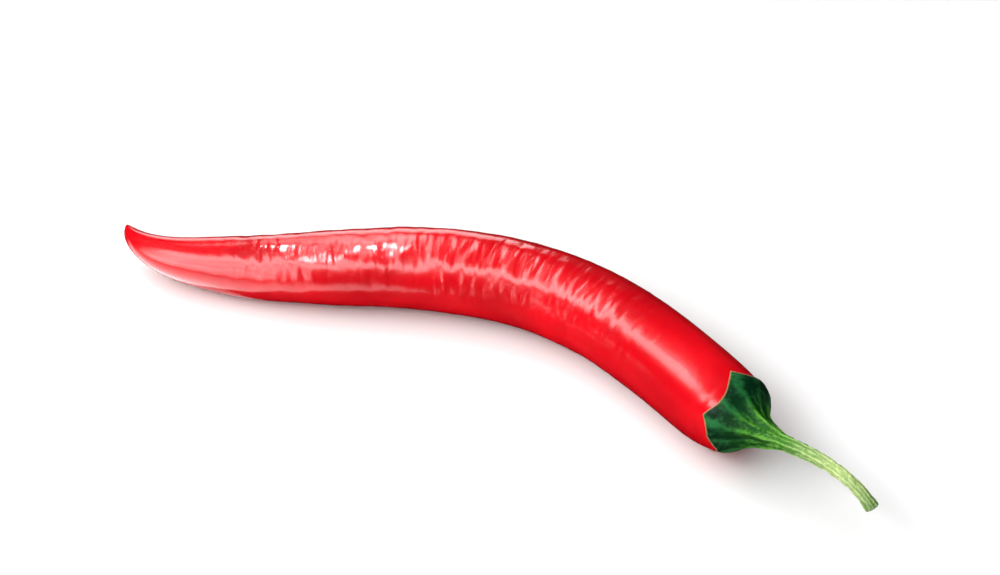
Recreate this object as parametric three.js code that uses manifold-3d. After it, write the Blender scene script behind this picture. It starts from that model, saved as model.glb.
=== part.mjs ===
// A fresh red chilli pepper as picked, lying on a flat surface. Millimetres and degrees, +Z up.
// Three pieces: the pod (the red fruit), the calyx (the green cap of fused sepals) and the stem.
//
// Everything is laid along one centre line. Distance s runs along it from the ring of the calyx's
// points (s = 0): positive towards the pod's tip, negative through the calyx and up the stem.

import * as THREE from "three";
import { mergeVertices } from "three/addons/utils/BufferGeometryUtils.js";
import Module from "manifold-3d";

// Pod
const POD_LENGTH = 147.5; // from the calyx's points to the tip, along the centre line
const BELLY_DIAMETER = 18.3;
const WAIST_DIAMETER = 16.2; // where the calyx's points hold the pod
const WAIST_FADE = 4; // length in which the waist swells most of the way to the belly
const SHOULDER_LENGTH = 8.1; // domed end of the pod, inside the calyx
const SHOULDER_BULGE = 1.95; // a higher power gives a rounder shoulder
const SHOULDER_CURVE = 0.85;
const TAPER_POWER = 4.1; // a higher power keeps the pod full for longer
const TAPER_CURVE = 0.725; // 1 gives a sharp tip, 0.5 a round one

// How the pod bends in plan, each stretch given by the shares of its length where it starts and ends
const MAIN_BEND = { angle: 54, from: 0.05, to: 0.65 };
const BACK_BEND = { angle: 9.5, from: 0.59, to: 0.9 };
const TIP_HOOK = { angle: 63.5, from: 0.84 };

// How it rests
const CONTACT_DEPTH = 0.15; // the skin is pressed flat by this much where it touches
const CALYX_LIFT = 1.2; // the calyx end curls up off the surface by this much
const CALYX_LIFT_RUN = 15.5;
const REST_END = 0.75; // share of the length where the pod leaves the surface again
const LEVEL_FADE = 0.05; // share in which the centre line then levels out
const TIP_RISE = 1;

// Calyx
const CALYX_LENGTH = 15.5; // from its points to the neck that carries the stem
const LOBES = 5;
const LOBE_TURN = 8; // turn of one of the points about the centre line, from the top
const SCALLOP_DEPTH = 2.9; // how far the edge draws back between two points
const SLANT = { reach: 1.5, turn: 22 }; // the edge reaches further up the pod on one side
const EDGE_FADE = 0.9 * SHOULDER_LENGTH; // distance in which scallops and slant die out
const WALL = 0.3; // least thickness of the calyx, which its edge has
const NECK_DIAMETER = 3.4;
const BELL_RUN = 6.1; // distance from the edge in which the bell falls to half its width
const BELL_POWER = 3; // a higher power gives a squarer bell
const SEAT_GAP = 0.3; // clearance between two pieces that touch

// Stem
const STEM_LENGTH = 20.5; // from the calyx's neck to the cut end
const STEM_DIAMETER = 3; // at the calyx
const STEM_END_DIAMETER = 2.4;
const STEM_WAIST = 0.1; // share by which the middle is slimmer than a straight taper
const STEM_TURN = { angle: 13.5, run: 15.5 }; // swing in plan, from the calyx's points on
const STEM_DROOP = { angle: 55, from: 15 }; // bend towards the ground, from there on

// Fineness of the surfaces
const POD_SIDES = 28;
const POD_RINGS = 46;
const SHOULDER_RINGS = 8;
const CALYX_SIDES = 40;
const CALYX_RINGS = 14;
const SEAT_RINGS = 9;
const STEM_SIDES = 14;
const STEM_RINGS = 18;
const TIP_CROWDING = 1.6; // above 1, rings lie closer together towards the tip
const WALK_STEP = 0.5; // step along the centre line
const NUDGE = 0.01; // step that a surface's steepness is read over
const SAME_POINT = 1e-3; // vertices closer than this are one

const wasm = await Module();
wasm.setup();

const radians = THREE.MathUtils.degToRad;
const ease = (share) => THREE.MathUtils.smoothstep(share, 0, 1);
const above = (value) => Math.max(0, value);

// ---- Radii ----

// Share of the belly's width that the taper to the tip leaves.
function taper(s) {
  return above(1 - above(s / POD_LENGTH) ** TAPER_POWER) ** TAPER_CURVE;
}

// The pod's side, from the calyx's points to the tip.
function sideRadius(s) {
  const swell = 1 - Math.exp(-s / WAIST_FADE);
  return (THREE.MathUtils.lerp(WAIST_DIAMETER, BELLY_DIAMETER, swell) / 2) * taper(s);
}

// The whole pod, with its domed end inside the calyx.
function podRadius(s) {
  if (s > 0) {
    return sideRadius(s);
  }
  const share = Math.min(1, -s / SHOULDER_LENGTH);
  return (WAIST_DIAMETER / 2) * (1 - share ** SHOULDER_BULGE) ** SHOULDER_CURVE;
}

// A surface that lies over the pod's at an even distance.
function overPod(s, distance) {
  const steepness = (podRadius(s + NUDGE) - podRadius(s - NUDGE)) / (2 * NUDGE);
  return podRadius(s) + distance * Math.hypot(1, steepness);
}

// The calyx's inner surface.
function seatRadius(s) {
  return overPod(s, SEAT_GAP);
}

// The calyx's outer surface: it follows the pod's side, then is a bell that narrows to the neck.
function bellRadius(s) {
  const skin = overPod(s, SEAT_GAP + WALL);
  if (s > 0) {
    return skin;
  }
  const fall = (distance) => 1 / (1 + (distance / BELL_RUN) ** BELL_POWER);
  const bell = (fall(-s) - fall(CALYX_LENGTH)) / (1 - fall(CALYX_LENGTH));
  return Math.max(skin, THREE.MathUtils.lerp(NECK_DIAMETER / 2, overPod(0, SEAT_GAP + WALL), bell));
}

// The stem, at a share of its length from the calyx.
function stemRadius(share) {
  const straight = THREE.MathUtils.lerp(STEM_DIAMETER, STEM_END_DIAMETER, share) / 2;
  return straight * (1 - STEM_WAIST * Math.sin(Math.PI * share));
}

// ---- Centre line ----

const LINE_END = CALYX_LENGTH + SEAT_GAP + STEM_LENGTH;

// Heading in plan, in degrees, counted from the heading at the calyx's points.
function heading(s) {
  if (s < 0) {
    return -STEM_TURN.angle * ease(-s / STEM_TURN.run);
  }
  const share = s / POD_LENGTH;
  const through = (bend) => ease((share - bend.from) / (bend.to - bend.from));
  const bends = BACK_BEND.angle * through(BACK_BEND) - MAIN_BEND.angle * through(MAIN_BEND);
  return bends + TIP_HOOK.angle * above((share - TIP_HOOK.from) / (1 - TIP_HOOK.from)) ** 2;
}

// Height of the pod's centre line: its own radius where the belly touches the surface.
function podHeight(s) {
  const share = s / POD_LENGTH;
  const past = above(share - REST_END);
  const level = LEVEL_FADE * (1 - Math.exp(-past / LEVEL_FADE));
  const touching = (BELLY_DIAMETER / 2) * taper((share - past + level) * POD_LENGTH) - CONTACT_DEPTH;
  const calyxLift = CALYX_LIFT * above(1 - s / CALYX_LIFT_RUN) ** 2;
  const riseFrom = REST_END + LEVEL_FADE;
  return touching + calyxLift + TIP_RISE * above((share - riseFrom) / (1 - riseFrom)) ** 2;
}

// Climb of the centre line per millimetre towards the tip.
function slope(s) {
  const podSlope = (at) => (podHeight(at + WALK_STEP / 2) - podHeight(at - WALK_STEP / 2)) / WALK_STEP;
  if (s >= 0) {
    return podSlope(s);
  }
  const droop = above((-s - STEM_DROOP.from) / (LINE_END - STEM_DROOP.from)) ** 2;
  return Math.sin(Math.asin(podSlope(0)) + radians(STEM_DROOP.angle) * droop);
}

function tangent(s) {
  const climb = slope(s);
  const level = Math.sqrt(1 - climb ** 2);
  const turn = radians(heading(s));
  return new THREE.Vector3(-Math.cos(turn) * level, Math.sin(turn) * level, climb);
}

// Place of the centre line at s, and the two directions across it: sideways and up.
function frameAt(s) {
  const steps = Math.max(1, Math.ceil(Math.abs(s) / WALK_STEP));
  const place = new THREE.Vector3(0, 0, podHeight(0));
  for (let i = 0; i < steps; i++) {
    place.addScaledVector(tangent(((i + 0.5) * s) / steps), s / steps);
  }
  const along = tangent(s);
  const side = along.clone().cross(new THREE.Vector3(0, 0, 1)).normalize();
  const up = side.clone().cross(along);
  return { place, side, up };
}

// ---- Solids ----

// Turns a profile of (radius, s) points and lays it along the centre line. reshape may move a
// profile point at each turn of the way round, 0 to 2 pi.
function laidAlongLine(profile, sides, reshape = (point) => point) {
  const geometry = new THREE.LatheGeometry(profile, sides);
  const positions = geometry.getAttribute("position");
  for (let i = 0; i < positions.count; i++) {
    const turn = (Math.floor(i / profile.length) * 2 * Math.PI) / sides;
    const point = reshape(profile[i % profile.length], turn);
    const { place, side, up } = frameAt(point.y);
    place.addScaledVector(side, point.x * Math.sin(turn));
    place.addScaledVector(up, point.x * Math.cos(turn));
    positions.setXYZ(i, place.x, place.y, place.z);
  }
  geometry.computeVertexNormals();
  return geometry;
}

function solidOf(geometry) {
  const bare = geometry.clone().deleteAttribute("normal").deleteAttribute("uv");
  const merged = mergeVertices(bare, SAME_POINT);
  const vertProperties = merged.getAttribute("position").array;
  const triVerts = new Uint32Array(merged.index.array);
  return new wasm.Manifold(new wasm.Mesh({ numProp: 3, vertProperties, triVerts }));
}

function geometryOf(solid) {
  const mesh = solid.getMesh();
  const geometry = new THREE.BufferGeometry();
  geometry.setAttribute("position", new THREE.BufferAttribute(mesh.vertProperties, 3));
  geometry.setIndex(new THREE.BufferAttribute(mesh.triVerts, 1));
  geometry.computeVertexNormals();
  return geometry;
}

// Cuts away what lies below the surface that the chilli rests on, which leaves a flat face.
function pressedFlat(geometry) {
  geometry.computeBoundingBox();
  const size = geometry.boundingBox.getSize(new THREE.Vector3());
  const centre = geometry.boundingBox.getCenter(new THREE.Vector3());
  const ground = new THREE.BoxGeometry(2 * size.x, 2 * size.y, size.z);
  ground.translate(centre.x, centre.y, -size.z / 2);
  return geometryOf(solidOf(geometry).subtract(solidOf(ground)));
}

// Points of a curve, from the first share to the last.
function sampled(count, pointAt) {
  return Array.from({ length: count + 1 }, (_, i) => pointAt(i / count));
}

function podProfile() {
  const shoulder = sampled(SHOULDER_RINGS, (share) => {
    const s = -SHOULDER_LENGTH * Math.cos((share * Math.PI) / 2);
    return new THREE.Vector2(podRadius(s), s);
  });
  const side = sampled(POD_RINGS, (share) => {
    const s = POD_LENGTH * (1 - (1 - share) ** TIP_CROWDING);
    return new THREE.Vector2(sideRadius(s), s);
  });
  return [...shoulder.slice(0, -1), ...side];
}

// A profile point that knows the surface it is on, as that surface's radius at each s.
function onSurface(radius, s) {
  return Object.assign(new THREE.Vector2(radius(s), s), { radius });
}

function calyxProfile() {
  const crown = new THREE.Vector2(0, -SHOULDER_LENGTH - SEAT_GAP);
  const seat = sampled(SEAT_RINGS, (share) => {
    return onSurface(seatRadius, -SHOULDER_LENGTH * Math.cos((share * Math.PI) / 2));
  });
  const bell = sampled(CALYX_RINGS, (share) => onSurface(bellRadius, -share * CALYX_LENGTH));
  return [crown, ...seat, ...bell, new THREE.Vector2(0, -CALYX_LENGTH)].reverse();
}

// Draws the calyx's edge back between its points and slants it: each point of the profile slides
// along its own surface, less and less with the distance from the edge.
function scalloped(point, turn) {
  if (!point.radius) {
    return point;
  }
  const lobe = (turn - radians(LOBE_TURN)) / ((2 * Math.PI) / LOBES);
  const fromPoint = 2 * Math.abs(lobe - Math.round(lobe));
  const scallop = SCALLOP_DEPTH * (1 - (1 - fromPoint) ** 2);
  const slant = SLANT.reach * Math.cos(turn - radians(SLANT.turn));
  const s = point.y + (slant - scallop) * above(1 + point.y / EDGE_FADE);
  return new THREE.Vector2(point.radius(s), s);
}

function stemProfile() {
  const foot = -CALYX_LENGTH - SEAT_GAP;
  const side = sampled(STEM_RINGS, (share) => {
    return new THREE.Vector2(stemRadius(share), foot - share * STEM_LENGTH);
  });
  return [new THREE.Vector2(0, foot), ...side, new THREE.Vector2(0, foot - STEM_LENGTH)].reverse();
}

// ---- Pieces ----

function piece(name, geometry, color, roughness) {
  const material = new THREE.MeshStandardMaterial({ color, roughness, metalness: 0 });
  const mesh = new THREE.Mesh(geometry, material);
  mesh.name = name;
  return mesh;
}

const pod = piece("pod", pressedFlat(laidAlongLine(podProfile(), POD_SIDES)), 0xd90f1c, 0.25);
const calyx = piece("calyx", laidAlongLine(calyxProfile(), CALYX_SIDES, scalloped), 0x1d5f2a, 0.5);
const stem = piece("stem", laidAlongLine(stemProfile(), STEM_SIDES), 0x96b870, 0.6);

// The straight line from the pod's tip to the stem's cut end lies along +X, and the origin is at
// the bottom centre of the whole chilli.
const chilli = new THREE.Group();
chilli.add(pod, calyx, stem);
const span = frameAt(-LINE_END).place.sub(frameAt(POD_LENGTH).place);
chilli.rotation.z = -Math.atan2(span.y, span.x);
chilli.updateMatrixWorld(true);
const box = new THREE.Box3().setFromObject(chilli, true);
const centre = box.getCenter(new THREE.Vector3());
chilli.position.set(-centre.x, -centre.y, -box.min.z);

export default chilli;
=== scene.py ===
"""A fresh red chilli pepper as picked, lying on a pale floor. Metres and degrees, +Z up.

Three pieces: the glossy red pod, the calyx (the green cap of fused sepals) and the pale green stem.
All are laid along one centre line, the same as the CAD model's. Distance s runs along it from the
ring of the calyx's points (s = 0): positive towards the pod's tip, negative through the calyx and
up the stem. A turn is the angle round the line, counted from its top.
"""

import math

import bpy
import numpy as np
from mathutils import Matrix, Vector, noise


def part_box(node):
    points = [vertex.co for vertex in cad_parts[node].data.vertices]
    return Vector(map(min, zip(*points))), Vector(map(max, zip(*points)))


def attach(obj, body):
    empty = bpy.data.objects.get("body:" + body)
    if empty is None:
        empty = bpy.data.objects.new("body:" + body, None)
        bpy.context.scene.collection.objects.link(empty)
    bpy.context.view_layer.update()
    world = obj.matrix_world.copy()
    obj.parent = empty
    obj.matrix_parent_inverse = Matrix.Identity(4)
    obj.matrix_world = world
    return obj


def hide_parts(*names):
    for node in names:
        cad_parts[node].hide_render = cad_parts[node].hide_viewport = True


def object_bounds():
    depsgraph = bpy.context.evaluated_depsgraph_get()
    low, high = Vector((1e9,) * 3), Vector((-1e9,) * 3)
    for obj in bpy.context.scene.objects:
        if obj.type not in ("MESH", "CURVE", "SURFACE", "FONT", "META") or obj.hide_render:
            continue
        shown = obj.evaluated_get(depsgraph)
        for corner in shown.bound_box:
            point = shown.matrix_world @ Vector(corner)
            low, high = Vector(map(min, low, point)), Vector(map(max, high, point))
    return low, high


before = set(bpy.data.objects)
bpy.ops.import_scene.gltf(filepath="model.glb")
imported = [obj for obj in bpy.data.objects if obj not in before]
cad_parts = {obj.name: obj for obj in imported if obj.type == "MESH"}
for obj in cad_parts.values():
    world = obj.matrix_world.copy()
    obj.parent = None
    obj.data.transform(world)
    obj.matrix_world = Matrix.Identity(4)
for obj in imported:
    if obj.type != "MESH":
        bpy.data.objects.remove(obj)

cad_low, cad_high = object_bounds()
MM = 0.001

# Pod
POD_LENGTH = 147.5 * MM  # from the calyx's points to the tip, along the centre line
BELLY_RADIUS = 9.15 * MM
WAIST_RADIUS = 8.1 * MM  # where the calyx's points hold the pod
WAIST_FADE = 4 * MM
SHOULDER_LENGTH = 8.1 * MM  # domed end of the pod, inside the calyx
SHOULDER_BULGE = 1.95
SHOULDER_CURVE = 0.85
TAPER_POWER = 4.1
TAPER_CURVE = 0.725

# Bends in plan: an angle, and the shares of the pod's length where the bend starts and ends
MAIN_BEND = (54, 0.05, 0.65)
BACK_BEND = (9.5, 0.59, 0.9)
TIP_HOOK = (63.5, 0.84, 1)

# How it rests
CONTACT_DEPTH = 0.15 * MM
CALYX_LIFT = 1.2 * MM
CALYX_LIFT_RUN = 15.5 * MM
REST_END = 0.75
LEVEL_FADE = 0.05
TIP_RISE = 1 * MM

# Calyx
CALYX_LENGTH = 15.5 * MM
LOBES = 5
LOBE_TURN = math.radians(8)
SCALLOP_DEPTH = 2.9 * MM
SLANT_REACH = 2.1 * MM
SLANT_TURN = math.radians(40)
EDGE_FADE = 0.9 * SHOULDER_LENGTH
NECK_RADIUS = 1.7 * MM
BELL_RUN = 6.1 * MM
BELL_POWER = 3
EDGE_THICKNESS = 0.34 * MM
EDGE_CLEARANCE = 0.06 * MM
EDGE_BACK = 0.8 * MM  # how far the edge is drawn back all round
ODD_LOBE = (math.radians(-133), math.radians(8), math.radians(35))  # turn, how far it's shifted, width
SHALLOW = (math.radians(-97), 0.85, math.radians(40))  # turn, share that the scallop loses, width

# Stem
STEM_GAP = 0.3 * MM  # the CAD model's clearance between calyx and stem, which is grown over here
STEM_LENGTH = 20.5 * MM
STEM_INSERT = 1.2 * MM  # how far the stem starts inside the calyx
STEM_RADIUS = 1.5 * MM
STEM_END_RADIUS = 1.2 * MM
STEM_WAIST = 0.1
STEM_FLARE = (0.16 * MM, 0.1)  # height, and the share of the stem's length that it takes
STEM_TURN = (13.5, 15.5 * MM)
STEM_DROOP = (55, 15 * MM)
CUT_RIM = (0.10 * MM, 0.25)  # height, and the share of the way in that it takes
CUT_HOLLOW = (0.25 * MM, 0.3, 0.6)  # depth, and the shares of the way in where it starts and its run
CUT_FADE = 0.25 * MM
LINE_END = CALYX_LENGTH + STEM_GAP + STEM_LENGTH

# Stretches of the pod with relief: where each starts, its run up, where it ends, its run down
SWELLING = (0, 14 * MM, POD_LENGTH, 30 * MM)
RIPPLED = (14 * MM, 20 * MM, 130 * MM, 22 * MM)
TIP_FOLDED = (0.93 * POD_LENGTH, 0.05 * POD_LENGTH, POD_LENGTH, 2 * MM)

# Smooth noise in relief: height, size of its swells round the piece and along it, seed
SWELLS = (0.26 * MM, 9 * MM, 15 * MM, 3.7)
RIPPLE_PATCHES = (0.9, 7 * MM, 6 * MM, 61.3)
BROAD_RIPPLES = (1, 5.5 * MM, 3.6 * MM, 17.3)
FINE_RIPPLES = (0.135 * MM, 3.6 * MM, 1.5 * MM, 11.3)
CREASE_WAVES = (1, 6.5 * MM, 1.6 * MM, 23.9)
BELL_CRUMPLE = (0.20 * MM, 2.2 * MM, 2.2 * MM, 5.3)
BELL_CRINKLE = (0.10 * MM, 0.9 * MM, 1.2 * MM, 8.7)
STEM_ROUGHNESS = (0.16 * MM, 0.9 * MM, 1.3 * MM, 41.7)
STEM_CRINKLE = (0.15 * MM, 0.4 * MM, 0.45 * MM, 47.1)

# The pod's section: heights of its three sides and two sides, their turns in radians, and how far
# the three turn per metre
THREE_SIDED = (0.10 * MM, 0.4, 9)
TWO_SIDED = (0.07 * MM, 1.1)

# The pod's ripples and creases
RIPPLE_HEIGHTS = (0.18 * MM, 0.28 * MM)  # of the broad ones, near the calyx and near the tip
RIPPLES_GROW = (65 * MM, 25 * MM)  # where they start to grow, and over how far
RIPPLES_FACE = (math.radians(-24), math.radians(62))  # the turn where they are strongest, and width
RIPPLES_BELOW = 0.3  # share of them that is left on the far side
EVENNESS = 0.55  # share of them that is the same everywhere
CREASE_DEPTH = 0.055 * MM
CREASE_WIDTH = 0.2
CREASE_SHARPNESS = 1.5

# Shallow dents that catch the light: where along the pod, turn, length, width in degrees, depth
DENTS = (
    (86.5 * MM, -22, 1.7 * MM, 20, 0.13 * MM),
    (90 * MM, -31, 1.2 * MM, 13, 0.09 * MM),
    (98 * MM, -35, 1.3 * MM, 13, 0.11 * MM),
    (105 * MM, -22, 1.0 * MM, 17, 0.11 * MM),
)

# Folds where the calyx's points press on the pod, and at its tip
PUCKER_HEIGHT = 0.07 * MM
PUCKER_FADE = 5 * MM
PUCKER_START = 6 * MM  # under the calyx
TIP_FOLD_HEIGHT = 0.06 * MM
TIP_FOLDS = 7

# Ribs of the calyx and stem: one from each point of the calyx, and a weaker one between
RIB_SWAY = 0.12  # in radians
RIB_SWAY_RUN = 4 * MM
RIB_WIDTH = 0.22
WEAK_RIB = (0.65, 0.16)  # height, width
STEM_RIBS = (0.15 * MM, 0.4)  # height, and the share of it that lies under the plain surface

# The bell's relief: heights, with places and runs as shares of the calyx's length
HOLLOW_DEPTH = 0.6 * MM
HOLLOW_PLACE = (0.5, 0.2)
HOLLOW_POWER = 1.5
BELL_RIB_HEIGHT = 0.36 * MM
BELL_RIBS_START = (0.12, 0.4)
CRUMPLE_START = (0.02, 0.15)
INTO_STEM = (0.72, 0.28)
BELL_NOISE_RADIUS = 6 * MM  # round which the noise of the bell's relief is laid
GREEN_NOISE_RADIUS = 3 * MM  # round which the greens' patterns are laid

# Meshes: rings along each surface, and points round it
WALK_STEP = 0.1 * MM
FIT_RINGS, FIT_SIDES = 600, 180
POD_DOME_RINGS, POD_SIDE_RINGS, POD_SIDES = 20, 560, 160
CALYX_INNER_RINGS, CALYX_EDGE_RINGS, CALYX_OUTER_RINGS, CALYX_SIDES = 24, 9, 110, 240
STEM_RINGS, CUT_RINGS, STEM_SIDES = 150, 10, 96
POD_CROWN_ANGLE, CALYX_CROWN_ANGLE = 0.04, 0.05  # from the crown to the first ring, in radians
TIP_CROWDING = 1.12  # above 1, the rings lie closer together towards the tip
LAST_RING = 0.9999  # share of the pod's length, just short of its tip
EDGE_CROWDING = 1.1

# Patterns in the colours and gloss: size of their swells across the piece and along it
RED_PATCHES = (14 * MM, 22 * MM)
RED_STREAKS = (3.5 * MM, 0.8 * MM)
RED_FLECKS = (0.35 * MM, 0.45 * MM)
RED_DULLNESS = (6 * MM, 9 * MM)
RED_WRINKLES = (1.6 * MM, 0.42 * MM)
RED_PORES = (0.16 * MM, 0.16 * MM)
GREEN_CLOUDS = (1.3 * MM, 2.4 * MM)
GREEN_MOTTLE = (0.35 * MM, 0.55 * MM)
GREEN_FIBRES = (0.22 * MM, 2.6 * MM)
GREEN_DULLNESS = (1.2 * MM, 2.0 * MM)
GREEN_FURROWS = (0.3 * MM, 2.2 * MM)
GREEN_GRAIN = (0.5 * MM, 0.5 * MM)
CORK_GRAIN = (0.4 * MM, 0.4 * MM)
WOUND_GRAIN = (0.3 * MM, 0.3 * MM)

# Camera. Ways are (azimuth, elevation), with azimuth 0 towards -Y and 90 towards +X
SENSOR_WIDTH = 36  # in millimetres, as the lens
LENS = 85
CAMERA_WAY = (30.28, 40)
CAMERA_DISTANCE = 499.4 * MM
CAMERA_AIM = (-11.4 * MM, 16.7 * MM)  # from the chilli's middle, in plan

# Broad soft lights: name, way from the chilli, distance, size, radiance, azimuth of the long side,
# and whether the gloss shows it
BROAD_LIGHTS = (
    ("fill", (0, 90), 1.5, (1.6, 1.6), 1.6, 90, False),
    ("left", (-86, 44), 1.10, (0.95, 0.45), 6.0, 4, False),
    ("front", (10, 25), 1.10, (1.0, 0.5), 2.2, 90, False),
    ("front_core", (-18, 46), 1.10, (1.15, 0.32), 6.0, 72, True),
    ("front_halo", (-18, 46), 1.12, (1.25, 0.60), 1.2, 72, True),
    ("horizon", (-142, 12), 0.8, (0.35, 0.35), 3.0, 90, True),
)

# Lights near the pod, which show in the gloss alone. Boxes: name, share of the pod's length, way
# from there, distance, size, radiance
BOXES = (
    ("left_core", 0.19, (-86, 44), 120 * MM, (105 * MM, 36 * MM), 7.2),
    ("left_halo", 0.19, (-86, 44), 122 * MM, (120 * MM, 64 * MM), 1.5),
    ("behind", 0.62, (-128, 48), 150 * MM, (80 * MM, 80 * MM), 3.5),
)
BOX_SLOPE = (4, 10)  # way of their long sides
BOX_SPREAD = 90

# Small bright strips across the pod: where along it, way from there, length, radiance, spread
SPARKS = (
    (86 * MM, (-70, 78), 36 * MM, 140.0, 22),
    (98.5 * MM, (-14, 63), 18 * MM, 50.0, 26),
    (105 * MM, (-84, 68), 22 * MM, 70.0, 20),
)
SPARK_WIDTH = 7 * MM
SPARK_DISTANCE = 50 * MM

# Cards round the tip: share of the pod's length, way from there, distance, size, radiance
CARDS = (
    (0.82, (-10, 24), 80 * MM, (85 * MM, 46 * MM), 8.0),
    (0.82, (-10, 4), 80 * MM, (85 * MM, 28 * MM), 7.0),
    (0.93, (-35, 24), 70 * MM, (60 * MM, 46 * MM), 7.0),
    (0.93, (-35, 4), 70 * MM, (60 * MM, 26 * MM), 7.0),
)
CARD_SPREAD = 50

# Pale sheets that lie over the floor and shine up: before the tip, under it and behind the pod.
# Middle, size, azimuth of the long side, radiance, spread
PAPERS = (
    ((-59 * MM, -49 * MM), (90 * MM, 60 * MM), 90, 4.0, 160),
    ((-68 * MM, 12 * MM), (95 * MM, 60 * MM), 128, 1.0, 120),
    ((0 * MM, 44 * MM), (120 * MM, 60 * MM), 90, 0.8, 120),
)
PAPER_HEIGHT = 1 * MM
STRAIGHT_DOWN = (0, -90)

# Surroundings
SKY_STRENGTH = 0.4
GROUND_STRENGTH = 0.04
HORIZON_BLUR = 0.02
FLOOR_REACH = 4.0


# ---- Centre line and radii ----

def ease(share):
    share = np.clip(share, 0, 1)
    return share * share * (3 - 2 * share)


def above(value):
    return np.maximum(0, value)


def lerp(low, high, share):
    return low + (high - low) * share


def taper(s):
    """Share of the belly's width that the taper to the tip leaves."""
    return above(1 - above(s / POD_LENGTH) ** TAPER_POWER) ** TAPER_CURVE


def plain_pod_radius(s):
    """The pod's radius before ripples and dents, its domed end inside the calyx included."""
    side = lerp(WAIST_RADIUS, BELLY_RADIUS, 1 - np.exp(-above(s) / WAIST_FADE)) * taper(s)
    share = np.clip(-s / SHOULDER_LENGTH, 0, 1)
    dome = WAIST_RADIUS * (1 - share ** SHOULDER_BULGE) ** SHOULDER_CURVE
    return np.where(s > 0, side, dome)


def heading(s):
    """Heading in plan, in degrees, counted from the heading at the calyx's points."""
    share = s / POD_LENGTH
    bends = 0
    for sign, (angle, start, end) in ((1, BACK_BEND), (-1, MAIN_BEND)):
        bends = bends + sign * angle * ease((share - start) / (end - start))
    angle, start, end = TIP_HOOK
    bends = bends + angle * above((share - start) / (end - start)) ** 2
    return np.where(s < 0, -STEM_TURN[0] * ease(-s / STEM_TURN[1]), bends)


def pod_height(s):
    """Height of the pod's centre line: its own radius where the belly touches the floor."""
    share = s / POD_LENGTH
    past = above(share - REST_END)
    level = LEVEL_FADE * (1 - np.exp(-past / LEVEL_FADE))
    touching = BELLY_RADIUS * taper((share - past + level) * POD_LENGTH) - CONTACT_DEPTH
    calyx_lift = CALYX_LIFT * above(1 - s / CALYX_LIFT_RUN) ** 2
    rise_from = REST_END + LEVEL_FADE
    return touching + calyx_lift + TIP_RISE * above((share - rise_from) / (1 - rise_from)) ** 2


def climb(s):
    """Rise of the centre line per metre towards the tip."""
    reach = 0.25 * MM
    pod = (pod_height(s + reach) - pod_height(s - reach)) / (2 * reach)
    at_ring = float(pod_height(reach) - pod_height(-reach)) / (2 * reach)
    droop = above((-s - STEM_DROOP[1]) / (LINE_END - STEM_DROOP[1])) ** 2
    return np.where(s >= 0, pod, np.sin(math.asin(at_ring) + math.radians(STEM_DROOP[0]) * droop))


def tangent(s):
    rise = climb(s)
    level = np.sqrt(1 - rise ** 2)
    turn = np.radians(heading(s))
    return np.stack([-np.cos(turn) * level, np.sin(turn) * level, rise], -1)


class CentreLine:
    """The line from the stem's cut end to the pod's tip, turned and placed as in the CAD model."""

    def __init__(self):
        margin = 1 * MM
        self.s = np.arange(-LINE_END - margin, POD_LENGTH + margin, WALK_STEP)
        steps = tangent(self.s + WALK_STEP / 2) * WALK_STEP
        self.place = np.concatenate([np.zeros((1, 3)), np.cumsum(steps, 0)[:-1]])
        self.along = tangent(self.s)
        self.place += [0, 0, float(pod_height(0.0))] - self.look_up(self.place, 0.0)
        span = self.look_up(self.place, -LINE_END) - self.look_up(self.place, POD_LENGTH)
        angle = -math.atan2(span[1], span[0])
        turned = np.array(Matrix.Rotation(angle, 3, "Z"))
        self.place = self.place @ turned.T
        self.along = self.along @ turned.T
        self.side = np.cross(self.along, [0, 0, 1])
        self.side /= np.linalg.norm(self.side, axis=1)[:, None]
        self.up = np.cross(self.side, self.along)
        self.move_onto_cad_pod()

    def look_up(self, values, s):
        return np.stack([np.interp(s, self.s, values[:, k]) for k in range(3)], -1)

    def surface(self, s, turn, radius):
        across = self.look_up(self.side, s) * (radius * np.sin(turn))[..., None]
        upward = self.look_up(self.up, s) * (radius * np.cos(turn))[..., None]
        return self.look_up(self.place, s) + across + upward

    def move_onto_cad_pod(self):
        """Moves the line so that the plain pod's low corner is the CAD pod's, in plan."""
        s, turn = grid(np.linspace(-SHOULDER_LENGTH, POD_LENGTH, FIT_RINGS), turns_round(FIT_SIDES))
        skin = self.surface(s, turn, plain_pod_radius(s)).reshape(-1, 3)
        low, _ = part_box("pod")
        self.place[:, :2] += np.array(low)[:2] - skin[:, :2].min(0)


def turns_round(count):
    return np.arange(count) * 2 * math.pi / count


def grid(rings, turns):
    """Every pair of a ring and a turn, as two grids."""
    return np.meshgrid(rings, turns, indexing="ij")


def straightened(s, turn, radius=BELLY_RADIUS):
    """Places on the chilli as if its centre line were straight, for patterns that follow it."""
    return np.stack([radius * np.sin(turn), radius * np.cos(turn), s + 0 * turn], -1)


def noise_at(places, layer):
    """Smooth noise, up to its height each way. layer is a row of the table of noise above."""
    height, across, along, seed = layer
    scaled = (places / np.array((across, across, along)) + seed).reshape(-1, 3).tolist()
    return height * np.array([noise.noise(place) for place in scaled]).reshape(places.shape[:-1])


def bump(value, centre, width):
    """1 at the centre, falling to 0 as a bell."""
    return np.exp(-(((value - centre) / width) ** 2))


def stretch(s, start, run_up, end, run_down):
    """1 along a stretch of the pod, easing to 0 at its ends."""
    return ease((s - start) / run_up) * ease((end - s) / run_down)


def turn_apart(turn, centre):
    """Angle between two turns, from -pi to pi."""
    return (turn - centre + math.pi) % (2 * math.pi) - math.pi


# ---- Shapes in relief ----

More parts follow.
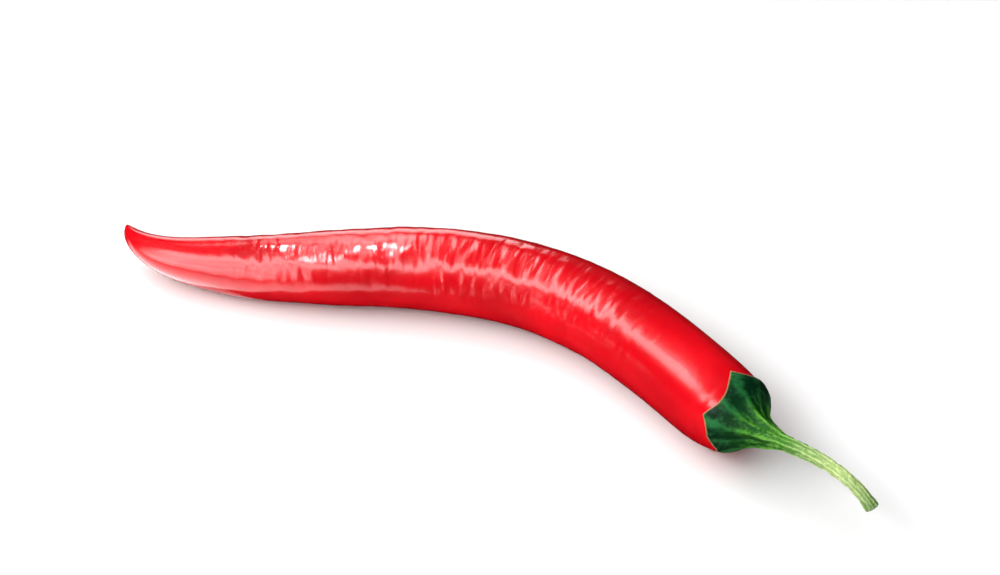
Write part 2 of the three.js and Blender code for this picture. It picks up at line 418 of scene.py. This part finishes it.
def uneven_section(s, turn, places):
    """The pod isn't quite round: it has faint sides that twist along it, and broad swells."""
    three_height, three_turn, twist = THREE_SIDED
    two_height, two_turn = TWO_SIDED
    sides = three_height * np.cos(3 * (turn - three_turn) + twist * s)
    sides = sides + two_height * np.cos(2 * turn + two_turn)
    return stretch(s, *SWELLING) * (sides + noise_at(places, SWELLS))


def ripples(s, turn, places):
    """Ripples and creases across the pod, in patches, most of them on its upper side."""
    centre, width = RIPPLES_FACE
    facing_up = lerp(RIPPLES_BELOW, 1, bump(turn_apart(turn, centre), 0, width))
    patchy = EVENNESS + np.abs(noise_at(places, RIPPLE_PATCHES))
    grow_from, grow_run = RIPPLES_GROW
    broad = lerp(*RIPPLE_HEIGHTS, ease((s - grow_from) / grow_run)) * noise_at(places, BROAD_RIPPLES)
    near_crease = above(1 - np.abs(noise_at(places, CREASE_WAVES)) / CREASE_WIDTH)
    creases = -CREASE_DEPTH * near_crease ** CREASE_SHARPNESS
    relief = broad + noise_at(places, FINE_RIPPLES) + creases
    return stretch(s, *RIPPLED) * facing_up * patchy * relief


def dents(s, turn):
    sunk = 0 * s
    for place, centre, length, width, depth in DENTS:
        apart = turn_apart(turn, math.radians(centre))
        sunk = sunk + depth * bump(s, place, length) * bump(apart, 0, math.radians(width))
    return sunk


def puckers(s, turn):
    """The pod's skin, pinched round the calyx's points."""
    folds = PUCKER_HEIGHT * np.cos(LOBES * (turn - LOBE_TURN)) * np.exp(-above(s) / PUCKER_FADE)
    return folds * ease((s + PUCKER_START) / PUCKER_START)


def tip_folds(s, turn):
    return TIP_FOLD_HEIGHT * np.cos(TIP_FOLDS * turn) * stretch(s, *TIP_FOLDED)


def pod_relief(s, turn):
    """How far the pod's skin stands over or under its plain shape."""
    places = straightened(s, turn)
    uneven = uneven_section(s, turn, places) + ripples(s, turn, places)
    return uneven - dents(s, turn) + puckers(s, turn) + tip_folds(s, turn)


def pod_radius(s, turn):
    return above(plain_pod_radius(s) + pod_relief(s, turn))


def from_lobe(turn):
    """0 at one of the calyx's points, 1 midway between two."""
    centre, shift, width = ODD_LOBE
    even = turn - shift * bump(turn_apart(turn, centre), 0, width)
    lobe = (even - LOBE_TURN) / (2 * math.pi / LOBES)
    return 2 * np.abs(lobe - np.round(lobe))


def slid(s, turn):
    """Where a place on the calyx goes when its edge is drawn back between the points and slanted."""
    centre, share, width = SHALLOW
    depth = SCALLOP_DEPTH * (1 - share * bump(turn_apart(turn, centre), 0, width))
    scallop = depth * (1 - (1 - from_lobe(turn)) ** 2)
    slant = SLANT_REACH * np.cos(turn - SLANT_TURN)
    return s + (slant - scallop - EDGE_BACK) * above(1 + s / EDGE_FADE)


def rib_height(s, turn):
    """0 between the ribs of the calyx and stem, 1 on a rib that comes from one of the points."""
    apart = from_lobe(turn + RIB_SWAY * np.sin(-s / RIB_SWAY_RUN))
    weak_height, weak_width = WEAK_RIB
    return bump(apart, 0, RIB_WIDTH) + weak_height * bump(apart, 1, weak_width)


def stem_radius(s, turn):
    share = np.clip((-s - CALYX_LENGTH - STEM_GAP) / STEM_LENGTH, 0, 1)
    straight = lerp(STEM_RADIUS, STEM_END_RADIUS, share)
    flare_height, flare_run = STEM_FLARE
    flare = flare_height * ease((share - (1 - flare_run)) / flare_run)
    plain = straight * (1 - STEM_WAIST * np.sin(math.pi * share)) + flare
    places = straightened(s, turn, STEM_RADIUS)
    rough = noise_at(places, STEM_ROUGHNESS) + noise_at(places, STEM_CRINKLE)
    ribs_height, ribs_under = STEM_RIBS
    return plain + ribs_height * (rib_height(s, turn) - ribs_under) + rough


def plain_bell_radius(s, skin):
    """The calyx's fall from the pod's shoulder to its neck, and never inside the given skin."""
    def fall(distance):
        return 1 / (1 + (distance / BELL_RUN) ** BELL_POWER)

    edge = plain_pod_radius(np.zeros(1))[0] + EDGE_CLEARANCE + EDGE_THICKNESS
    share = (fall(above(-s)) - fall(CALYX_LENGTH)) / (1 - fall(CALYX_LENGTH))
    return np.maximum(skin, lerp(NECK_RADIUS, edge, share))


def bell_relief(s, turn):
    """The calyx's ribs, the hollows between them and its crumpled skin."""
    def eased_in(start, run):
        return ease((depth - start) / run)

    depth = -s / CALYX_LENGTH
    hollow = HOLLOW_DEPTH * bump(depth, *HOLLOW_PLACE) * from_lobe(turn) ** HOLLOW_POWER
    ribs = BELL_RIB_HEIGHT * eased_in(*BELL_RIBS_START) * rib_height(s, turn)
    places = straightened(s, turn, BELL_NOISE_RADIUS)
    crumple = noise_at(places, BELL_CRUMPLE) + noise_at(places, BELL_CRINKLE)
    return ribs - hollow + crumple * eased_in(*CRUMPLE_START)


def bell_radius(s, turn):
    """The calyx's outer surface: over the pod's side, then a bell that flows into the stem."""
    skin = pod_radius(s, turn) + EDGE_CLEARANCE + EDGE_THICKNESS
    formed = np.where(s > 0, skin, plain_bell_radius(s, skin) + bell_relief(s, turn))
    start, run = INTO_STEM
    return lerp(formed, stem_radius(s, turn), ease((-s / CALYX_LENGTH - start) / run))


# ---- Meshes ----

def tube(name, line, s, turn, radius, features):
    """A closed mesh of rings of points laid along the line, its ends closed by a point each, and
    none of it under the floor. features are named values kept at each point, for the materials."""
    rings, sides = s.shape
    points = line.surface(s, turn, radius).reshape(-1, 3)
    ends = np.stack([points[:sides].mean(0), points[-sides:].mean(0)])
    points = np.concatenate([points, ends])
    points[:, 2] = above(points[:, 2])
    ring, side = grid(np.arange(rings - 1), np.arange(sides))
    after = (side + 1) % sides
    quads = np.stack([ring * sides + side, ring * sides + after,
                      (ring + 1) * sides + after, (ring + 1) * sides + side], -1).reshape(-1, 4)
    around = np.arange(sides)
    first, last = rings * sides, rings * sides + 1
    start = np.stack([np.full(sides, first), (around + 1) % sides, around], -1)
    rim = (rings - 1) * sides
    finish = np.stack([np.full(sides, last), rim + around, rim + (around + 1) % sides], -1)
    mesh = bpy.data.meshes.new(name)
    mesh.from_pydata(points.tolist(), [], quads.tolist() + start.tolist() + finish.tolist())
    mesh.shade_smooth()
    for label, values in features.items():
        keep_feature(mesh, label, values, sides)
    mesh.validate()
    piece = bpy.data.objects.new(name, mesh)
    bpy.context.scene.collection.objects.link(piece)
    return piece


def keep_feature(mesh, label, values, sides):
    """Stores a value, or a place, at each vertex; an end takes the mean of its ring."""
    flat = values.reshape(-1, *values.shape[2:])
    flat = np.concatenate([flat, [flat[:sides].mean(0)], [flat[-sides:].mean(0)]])
    if flat.ndim == 2:
        attribute = mesh.attributes.new(label, "FLOAT_VECTOR", "POINT")
        attribute.data.foreach_set("vector", flat.astype(np.float32).ravel())
    else:
        attribute = mesh.attributes.new(label, "FLOAT", "POINT")
        attribute.data.foreach_set("value", flat.astype(np.float32))


def dome_rings(count, first_angle):
    """Places along the pod's domed end, from near its crown to the ring of the calyx's points."""
    return -SHOULDER_LENGTH * np.cos(np.linspace(first_angle, math.pi / 2, count))


def make_pod(line):
    shoulder = dome_rings(POD_DOME_RINGS, POD_CROWN_ANGLE)
    side = POD_LENGTH * (1 - (1 - np.linspace(0, LAST_RING, POD_SIDE_RINGS)) ** TIP_CROWDING)
    s, turn = grid(np.concatenate([shoulder[:-1], side]), turns_round(POD_SIDES))
    features = {"straight": straightened(s, turn), "along": s}
    return tube("pod_skin", line, s, turn, pod_radius(s, turn), features)


def make_calyx(line):
    """Inner surface from the crown to the edge, round the edge, then the bell to the neck."""
    turns = turns_round(CALYX_SIDES)
    inner, inner_turn = grid(dome_rings(CALYX_INNER_RINGS, CALYX_CROWN_ANGLE), turns)
    inner_s = slid(inner, inner_turn)
    inner_r = pod_radius(inner_s, inner_turn) + EDGE_CLEARANCE
    across, edge_turn = grid(np.linspace(0, math.pi, CALYX_EDGE_RINGS)[1:-1], turns)
    edge_s = slid(0 * across, edge_turn)
    edge_r = pod_radius(edge_s, edge_turn) + EDGE_CLEARANCE
    edge_r = edge_r + EDGE_THICKNESS / 2 * (1 - np.cos(across))
    edge_s = edge_s + EDGE_THICKNESS / 2 * np.sin(across)
    down_bell = np.linspace(0, 1, CALYX_OUTER_RINGS) ** EDGE_CROWDING
    outer, outer_turn = grid(-down_bell * CALYX_LENGTH, turns)
    outer_s = slid(outer, outer_turn)
    outer_r = bell_radius(outer_s, outer_turn)
    s = np.concatenate([inner_s, edge_s, outer_s])
    turn = np.concatenate([inner_turn, edge_turn, outer_turn])
    radius = np.concatenate([inner_r, edge_r, outer_r])
    from_edge = np.concatenate([0 * inner, 0 * across, -outer])
    return tube("calyx_cup", line, s, turn, radius, green_features(s, turn, from_edge, 0 * s))


def make_stem(line):
    """The side from inside the calyx to the cut end, then the cut face with its rim and hollow."""
    turns = turns_round(STEM_SIDES)
    end = -LINE_END
    side, side_turn = grid(np.linspace(STEM_INSERT - CALYX_LENGTH, end, STEM_RINGS), turns)
    inward, face_turn = grid(np.linspace(0, 1, CUT_RINGS)[1:-1], turns)
    face_r = stem_radius(0 * inward + end, face_turn) * (1 - inward)
    rim_height, rim_run = CUT_RIM
    hollow_depth, hollow_start, hollow_run = CUT_HOLLOW
    hollow = hollow_depth * ease((inward - hollow_start) / hollow_run)
    face_s = end - rim_height * ease(inward / rim_run) + hollow
    s = np.concatenate([side, face_s])
    turn = np.concatenate([side_turn, face_turn])
    radius = np.concatenate([stem_radius(side, side_turn), face_r])
    from_edge = 0 * s + CALYX_LENGTH
    cut = np.concatenate([bump(side, end, CUT_FADE), 1 + 0 * inward])
    return tube("stem_stalk", line, s, turn, radius, green_features(s, turn, from_edge, cut))


def green_features(s, turn, from_edge, cut):
    return {
        "straight": straightened(s, turn, GREEN_NOISE_RADIUS),
        "along": -s,
        "rib": rib_height(s, turn),
        "from_edge": from_edge,
        "cut": cut,
    }


# ---- Materials ----

def rgb(red, green, blue):
    return (red, green, blue, 1.0)


DEEP_RED = rgb(0.50, 0.0008, 0.0055)
BRIGHT_RED = rgb(0.70, 0.0014, 0.0075)
STREAK_RED = rgb(0.48, 0.0008, 0.005)
FLECK_RED = rgb(0.76, 0.006, 0.010)
TIP_BROWN = rgb(0.28, 0.02, 0.012)
FIBRE_TINT = rgb(0.45, 0.55, 0.4)
CORK_BROWNS = (rgb(0.16, 0.08, 0.025), rgb(0.46, 0.27, 0.13))
WOUND_GREENS = (rgb(0.07, 0.10, 0.05), rgb(0.30, 0.36, 0.19))

# Greens of the hollows and of the ribs, from before the calyx's points (0) to the cut end (1)
# The hollows' greens are darker than the ribs' as painted shade, and the ribs' paler as painted
# highlight, over the calyx's and stem's own greens.
GREENS_START = -3 * MM
HOLLOW_GREENS_WITH_PAINTED_SHADE_AND_HIGHLIGHT = (
    (0.00, rgb(0.002, 0.034, 0.008)),
    (0.16, rgb(0.0006, 0.020, 0.007)),
    (0.31, rgb(0.002, 0.060, 0.004)),
    (0.46, rgb(0.030, 0.150, 0.008)),
    (0.56, rgb(0.120, 0.240, 0.055)),
    # The paler stop at the stem's middle is a painted highlight.
    (0.78, rgb(0.340, 0.480, 0.160)),
    (1.00, rgb(0.110, 0.200, 0.060)),
)
RIB_GREENS_WITH_PAINTED_HIGHLIGHT = (
    (0.00, rgb(0.012, 0.120, 0.030)),
    (0.20, rgb(0.014, 0.140, 0.034)),
    (0.29, rgb(0.070, 0.300, 0.018)),
    (0.46, rgb(0.200, 0.440, 0.075)),
    # The paler stop at the stem's middle is a painted highlight.
    (0.58, rgb(0.440, 0.600, 0.230)),
    (0.78, rgb(0.720, 0.800, 0.380)),
    (1.00, rgb(0.340, 0.500, 0.180)),
)


class Shading:
    """A material's nodes, made by short calls. A value may be a number, a colour or a socket."""

    def __init__(self, name):
        self.material = bpy.data.materials.new(name)
        self.material.use_nodes = True
        self.tree = self.material.node_tree
        self.shader = self.tree.nodes["Principled BSDF"]

    def feed(self, socket, value):
        if isinstance(value, bpy.types.NodeSocket):
            self.tree.links.new(value, socket)
        else:
            socket.default_value = value

    def node(self, kind, inputs, **settings):
        made = self.tree.nodes.new("ShaderNode" + kind)
        for key, value in settings.items():
            setattr(made, key, value)
        for key, value in inputs.items():
            self.feed(made.inputs[key], value)
        return made

    def set(self, **values):
        for key, value in values.items():
            self.feed(self.shader.inputs[key.replace("_", " ")], value)

    def feature(self, label):
        return self.node("Attribute", {}, attribute_name=label).outputs["Fac"]

    def places(self, sizes):
        """Places on the straightened chilli, in units of the given sizes across and along it."""
        across, along = sizes
        straight = self.node("Attribute", {}, attribute_name="straight").outputs["Vector"]
        scale = (1 / across, 1 / across, 1 / along)
        return self.node("Mapping", {"Vector": straight, "Scale": scale}).outputs["Vector"]

    def noise(self, sizes, detail=2.0, roughness=0.5):
        inputs = {"Vector": self.places(sizes), "Scale": 1.0, "Detail": detail, "Roughness": roughness}
        return self.node("TexNoise", inputs).outputs["Fac"]

    def remap(self, value, low, high, to_low=0.0, to_high=1.0):
        inputs = {0: value, 1: low, 2: high, 3: to_low, 4: to_high}
        return self.node("MapRange", inputs).outputs[0]

    def math(self, operation, first, second):
        return self.node("Math", {0: first, 1: second}, operation=operation).outputs[0]

    def mix(self, share, first, second, blend="MIX"):
        inputs = {0: share, 6: first, 7: second}
        return self.node("Mix", inputs, data_type="RGBA", blend_type=blend).outputs[2]

    def ramp(self, value, stops):
        made = self.node("ValToRGB", {0: value})
        elements = made.color_ramp.elements
        while len(elements) < len(stops):
            elements.new(0.5)
        for element, (position, colour) in zip(elements, stops):
            element.position = position
            element.color = colour
        return made.outputs[0]

    def relief(self, heights):
        """Bumps of several heights laid over one another, each (height, distance)."""
        normal = None
        for height, distance in heights:
            inputs = {"Height": height, "Distance": distance, "Strength": 1.0}
            if normal is not None:
                inputs["Normal"] = normal
            normal = self.node("Bump", inputs).outputs["Normal"]
        self.feed(self.shader.inputs["Normal"], normal)


def pod_material():
    """Glossy skin: red in deep and bright patches, with streaks, flecks, fine wrinkles and a dry tip."""
    skin = Shading("red_skin")
    patches = skin.remap(skin.noise(RED_PATCHES, 3.0), 0.35, 0.65)
    red = skin.mix(patches, DEEP_RED, BRIGHT_RED)
    streaks = skin.remap(skin.noise(RED_STREAKS, 3.0), 0.52, 0.75, 0.0, 0.35)
    red = skin.mix(streaks, red, STREAK_RED)
    flecks = skin.remap(skin.noise(RED_FLECKS, 2.0), 0.62, 0.8, 0.0, 0.3)
    red = skin.mix(flecks, red, FLECK_RED)
    along = skin.feature("along")
    dry_tip = skin.remap(along, POD_LENGTH - 1.6 * MM, POD_LENGTH - 0.2 * MM)
    red = skin.mix(dry_tip, red, TIP_BROWN)
    dull = skin.noise(RED_DULLNESS, 4.0)
    skin.set(
        Base_Color=red,
        Roughness=skin.remap(dull, 0.3, 0.7, 0.17, 0.25),
        IOR=1.45,
        Coat_Weight=0.35,
        Coat_Roughness=0.08,
        Coat_IOR=1.4,
        Subsurface_Weight=0.1,
        Subsurface_Radius=(1.0, 0.12, 0.08),
        Subsurface_Scale=1.5 * MM,
    )
    skin.relief([
        (skin.noise(RED_WRINKLES, 3.0), 0.035 * MM),
        (skin.noise(RED_PORES, 2.0), 0.006 * MM),
    ])
    return skin.material


def green_colour(skin):
    """Dark green at the calyx's edge, mid green at the neck and pale green up the stem, mottled. The
    stem's pale middle is a painted highlight, and the hollows are darker than the ribs as painted shade.
    """
    along = skin.remap(skin.feature("along"), GREENS_START, LINE_END)
    dark = skin.ramp(along, HOLLOW_GREENS_WITH_PAINTED_SHADE_AND_HIGHLIGHT)
    light = skin.ramp(along, RIB_GREENS_WITH_PAINTED_HIGHLIGHT)
    cloud = skin.noise(GREEN_CLOUDS, 4.0, 0.65)
    # Ribs take the paler greens and hollows the darker: painted highlight and painted shade.
    share = skin.math("MULTIPLY", skin.feature("rib"), 0.75)
    share = skin.math("ADD", share, skin.remap(cloud, 0.35, 0.7, -0.4, 0.65))
    mottle = skin.noise(GREEN_MOTTLE, 3.0, 0.6)
    share = skin.math("ADD", share, skin.remap(mottle, 0.35, 0.65, -0.28, 0.28))
    return skin.mix(skin.remap(share, 0.0, 1.0), dark, light)


def green_material(name, gloss_roughness, specular):
    """The calyx's and the stem's skin: ribs paler than the hollows, as painted highlight and painted
    shade over their own greens, fibres along it, a corky edge at the calyx's points and the stem's wound
    where it was cut."""
    skin = Shading(name)
    green = green_colour(skin)
    fibres = skin.remap(skin.noise(GREEN_FIBRES, 3.0), 0.55, 0.75, 0.0, 0.45)
    green = skin.mix(fibres, green, skin.mix(1.0, green, FIBRE_TINT, "MULTIPLY"))
    edge = skin.remap(skin.feature("from_edge"), 0.12 * MM, 0.45 * MM, 1.0, 0.0)
    green = skin.mix(edge, green, skin.mix(skin.noise(CORK_GRAIN), *CORK_BROWNS))
    wound = skin.mix(skin.noise(WOUND_GRAIN), *WOUND_GREENS)
    green = skin.mix(skin.feature("cut"), green, wound)
    dull = skin.noise(GREEN_DULLNESS, 3.0)
    skin.set(
        Base_Color=green,
        Roughness=skin.remap(dull, 0.3, 0.7, gloss_roughness, gloss_roughness + 0.2),
        Specular_IOR_Level=specular,
        Subsurface_Weight=0.06,
        Subsurface_Radius=(0.4, 1.0, 0.2),
        Subsurface_Scale=0.6 * MM,
    )
    skin.relief([
        (skin.noise(GREEN_FURROWS, 3.0), 0.08 * MM),
        (skin.noise(GREEN_GRAIN, 4.0), 0.05 * MM),
    ])
    return skin.material


def floor_material():
    floor = Shading("floor")
    floor.set(Base_Color=rgb(0.8, 0.8, 0.8), Roughness=0.9, Specular_IOR_Level=0.1)
    return floor.material


# ---- Scene ----

def direction(azimuth, elevation):
    """From the chilli towards a place in the studio."""
    turn, lift = math.radians(azimuth), math.radians(elevation)
    level = math.cos(lift)
    return Vector((math.sin(turn) * level, -math.cos(turn) * level, math.sin(lift)))


def add_camera():
    """The view from the front right, looking down at the floor a little behind the chilli's middle."""
    camera = bpy.data.cameras.new("camera")
    camera.sensor_width = SENSOR_WIDTH
    camera.lens = LENS
    camera.clip_start = 10 * MM
    view = bpy.data.objects.new("camera", camera)
    back = direction(*CAMERA_WAY)
    middle = (cad_low + cad_high) / 2
    aim = Vector((middle.x + CAMERA_AIM[0], middle.y + CAMERA_AIM[1], 0))
    view.location = aim + back * CAMERA_DISTANCE
    view.rotation_mode = "QUATERNION"
    view.rotation_quaternion = (-back).to_track_quat("-Z", "Y")
    bpy.context.scene.collection.objects.link(view)
    bpy.context.scene.camera = view


def aimed(name, light, place, target, long_way):
    """Puts a light at a place, facing its target, with its length running along long_way."""
    away = (place - target).normalized()
    cross = away.cross(Vector(long_way)).normalized()
    turned = Matrix((cross.cross(away), cross, away)).transposed()
    lamp = bpy.data.objects.new(name, light)
    lamp.matrix_world = Matrix.Translation(place) @ turned.to_4x4()
    lamp.visible_camera = False
    bpy.context.scene.collection.objects.link(lamp)
    return lamp


def add_softbox(name, target, way, distance, size, radiance, long_way, spread=180):
    """An area light. way is (azimuth, elevation) from its target, and size (length, width).
    A spread under 180 degrees keeps its light to the parts right in front of it."""
    light = bpy.data.lights.new(name, "AREA")
    light.shape = "RECTANGLE"
    light.size, light.size_y = size
    light.spread = math.radians(spread)
    kept = 1 - light.spread / 2 / math.tan(light.spread / 2)
    light.energy = radiance * kept * math.pi * size[0] * size[1]
    return aimed(name, light, target + direction(*way) * distance, target, long_way)


def add_broad_lights():
    """Soft light from above, the left and the front, and a glow low behind the pod."""
    middle = Vector((0, 0, BELLY_RADIUS))
    for name, way, distance, size, radiance, azimuth, in_gloss in BROAD_LIGHTS:
        lamp = add_softbox(name, middle, way, distance, size, radiance, direction(azimuth, 0))
        lamp.visible_glossy = in_gloss


def add_highlight(*softbox):
    """A softbox kept off the matt part of the surfaces, so it shows as a highlight alone."""
    add_softbox(*softbox).visible_diffuse = False


def add_highlights(line):
    """The lights near the pod, each for its own stretch of it."""
    def at(s):
        return Vector(line.look_up(line.place, s))

    slope = direction(*BOX_SLOPE)
    for name, share, way, distance, size, radiance in BOXES:
        add_highlight(name, at(share * POD_LENGTH), way, distance, size, radiance, slope, BOX_SPREAD)
    for s, way, length, radiance, spread in SPARKS:
        across = line.look_up(line.side, s)
        size = (length, SPARK_WIDTH)
        add_highlight("spark", at(s), way, SPARK_DISTANCE, size, radiance, across, spread)
    level = direction(90, 0)
    for share, way, distance, size, radiance in CARDS:
        add_highlight("card", at(share * POD_LENGTH), way, distance, size, radiance, level, CARD_SPREAD)
    for (x, y), size, azimuth, radiance, spread in PAPERS:
        over = Vector((x, y, 2 * PAPER_HEIGHT))
        long_way = direction(azimuth, 0)
        add_highlight("paper", over, STRAIGHT_DOWN, PAPER_HEIGHT, size, radiance, long_way, spread)


def add_surroundings():
    """Pale light from above the horizon, and little from below it, where the floor is."""
    world = bpy.data.worlds.new("studio")
    world.use_nodes = True
    bpy.context.scene.world = world
    nodes, links = world.node_tree.nodes, world.node_tree.links
    backdrop = nodes["Background"]
    way = nodes.new("ShaderNodeTexCoord")
    split = nodes.new("ShaderNodeSeparateXYZ")
    ramp = nodes.new("ShaderNodeMapRange")
    links.new(way.outputs["Generated"], split.inputs[0])
    ramp.inputs["From Min"].default_value = -HORIZON_BLUR
    ramp.inputs["From Max"].default_value = HORIZON_BLUR
    ramp.inputs["To Min"].default_value = GROUND_STRENGTH
    ramp.inputs["To Max"].default_value = SKY_STRENGTH
    links.new(split.outputs["Z"], ramp.inputs["Value"])
    links.new(ramp.outputs[0], backdrop.inputs["Strength"])


def add_floor():
    """A plain floor that the gloss doesn't mirror."""
    mesh = bpy.data.meshes.new("floor")
    reach = FLOOR_REACH
    corners = [(-reach, -reach, 0), (reach, -reach, 0), (reach, reach, 0), (-reach, reach, 0)]
    mesh.from_pydata(corners, [], [(0, 1, 2, 3)])
    mesh.materials.append(floor_material())
    floor = bpy.data.objects.new("floor", mesh)
    floor.visible_glossy = False
    bpy.context.scene.collection.objects.link(floor)


def add_piece(piece, material, node):
    piece.data.materials.append(material)
    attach(piece, "root")
    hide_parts(node)


bpy.context.scene.view_settings.view_transform = "Standard"
add_camera()
add_surroundings()
add_floor()
centre_line = CentreLine()
add_broad_lights()
add_highlights(centre_line)
add_piece(make_pod(centre_line), pod_material(), "pod")
calyx_green = green_material("calyx_skin", gloss_roughness=0.42, specular=0.2)
add_piece(make_calyx(centre_line), calyx_green, "calyx")
stem_green = green_material("stem_skin", gloss_roughness=0.5, specular=0.25)
add_piece(make_stem(centre_line), stem_green, "stem")
